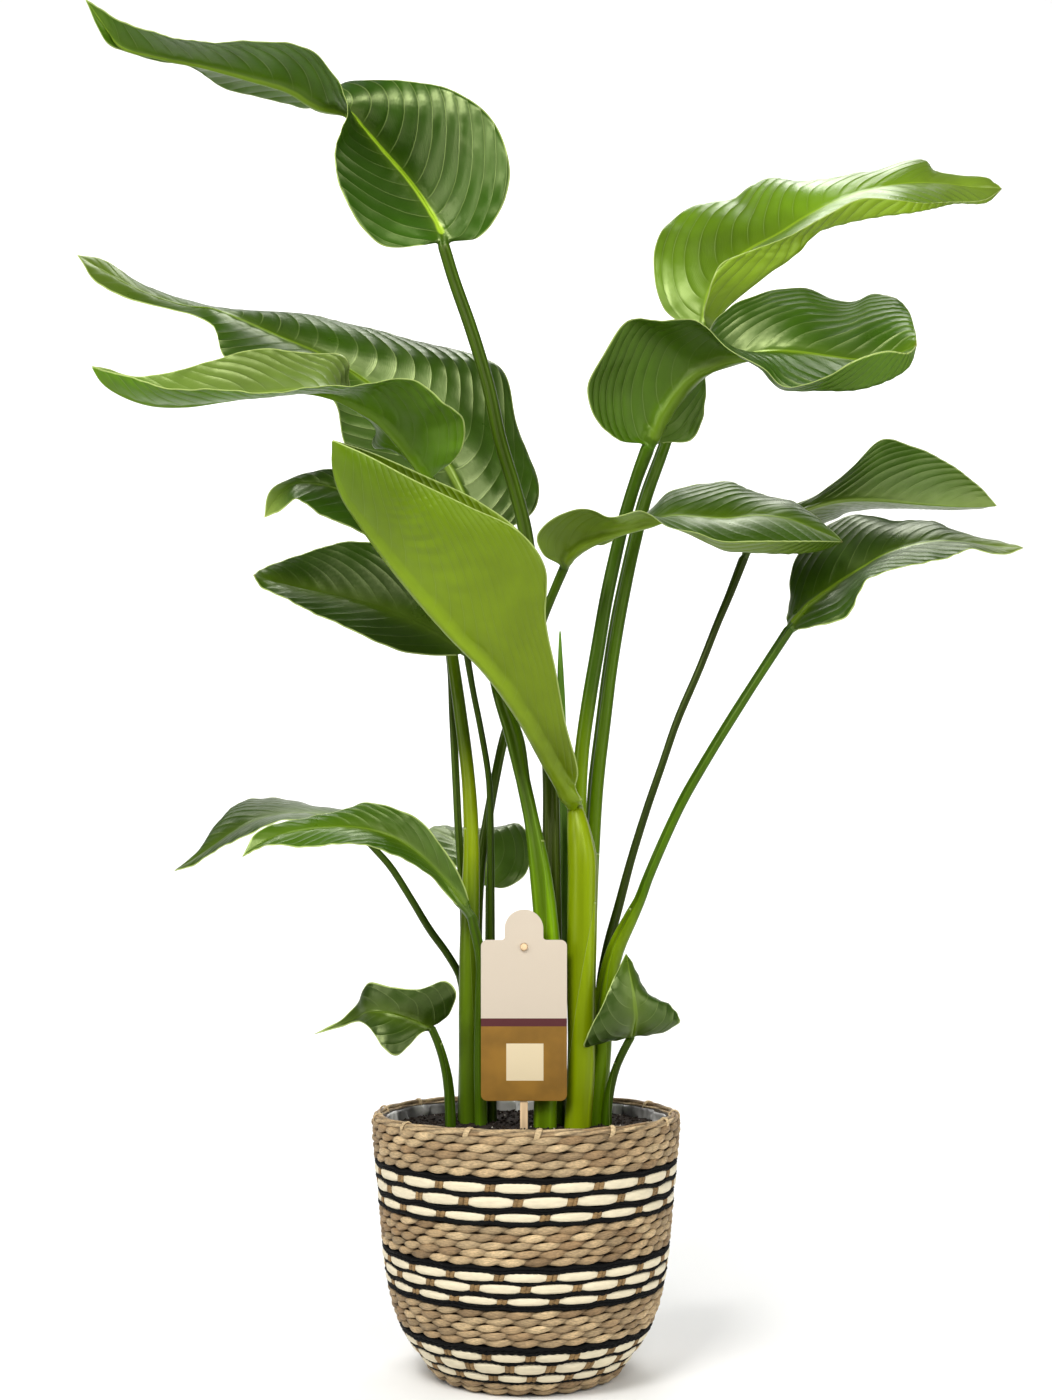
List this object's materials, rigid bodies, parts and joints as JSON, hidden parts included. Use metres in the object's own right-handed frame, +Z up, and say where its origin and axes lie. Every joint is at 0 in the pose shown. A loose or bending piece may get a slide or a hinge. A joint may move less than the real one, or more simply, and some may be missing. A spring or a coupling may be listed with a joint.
{
  "type": "potted bird of paradise plant",
  "caption": "Tall leafy house plant with arching paddle leaves on long stalks, rooted in soil inside a lined woven basket with dark and cream stripes.",
  "frame": {"origin": "centre of the basket's flat foot, on the surface it stands on", "axes": "+Z up, the front with the tag faces -Y, +X to the right seen from the front"},
  "size_m": [0.9692, 0.3623, 1.3105],
  "materials": {
    "woven_tan": "dry woven plant cord, matte",
    "black_twine": "twisted black twine, low sheen",
    "cream_strip": "flat cream strip, soft satin",
    "liner_film": "thin crinkled film, satin",
    "potting_soil": "crumbly, matte",
    "leaf_green": "waxy leaf, satin gloss",
    "leaf_young": "young waxy leaf, satin",
    "card": "matte printed card",
    "pale_wood": "plain sawn wood"
  },
  "bodies": {
    "root": {"basket_body": "woven_tan", "twine_upper": "black_twine", "twine_middle": "black_twine", "twine_lower": "black_twine", "strip_upper_1": "cream_strip", "strip_upper_2": "cream_strip", "strip_upper_3": "cream_strip", "strip_middle_1": "cream_strip", "strip_middle_2": "cream_strip", "strip_middle_3": "cream_strip", "strip_lower_1": "cream_strip", "strip_lower_2": "cream_strip", "strip_lower_3": "cream_strip", "liner": "liner_film", "soil": "potting_soil", "leaf_top": "leaf_green", "leaf_left_back": "leaf_green", "leaf_left_middle": "leaf_green", "leaf_left_drooping": "leaf_green", "leaf_left_dark": "leaf_green", "leaf_front": "leaf_young", "leaf_right_front": "leaf_green", "leaf_right_top": "leaf_green", "leaf_centre_right": "leaf_green", "leaf_right_low": "leaf_green", "leaf_right_upper": "leaf_green", "leaf_low_left_front": "leaf_green", "leaf_low_left_back": "leaf_green", "leaf_small_left": "leaf_green", "leaf_small_right": "leaf_green", "leaf_back_small": "leaf_green", "leaf_spear": "leaf_green", "tag_card": "card", "tag_stick": "pale_wood"}
  },
  "joints": []
}
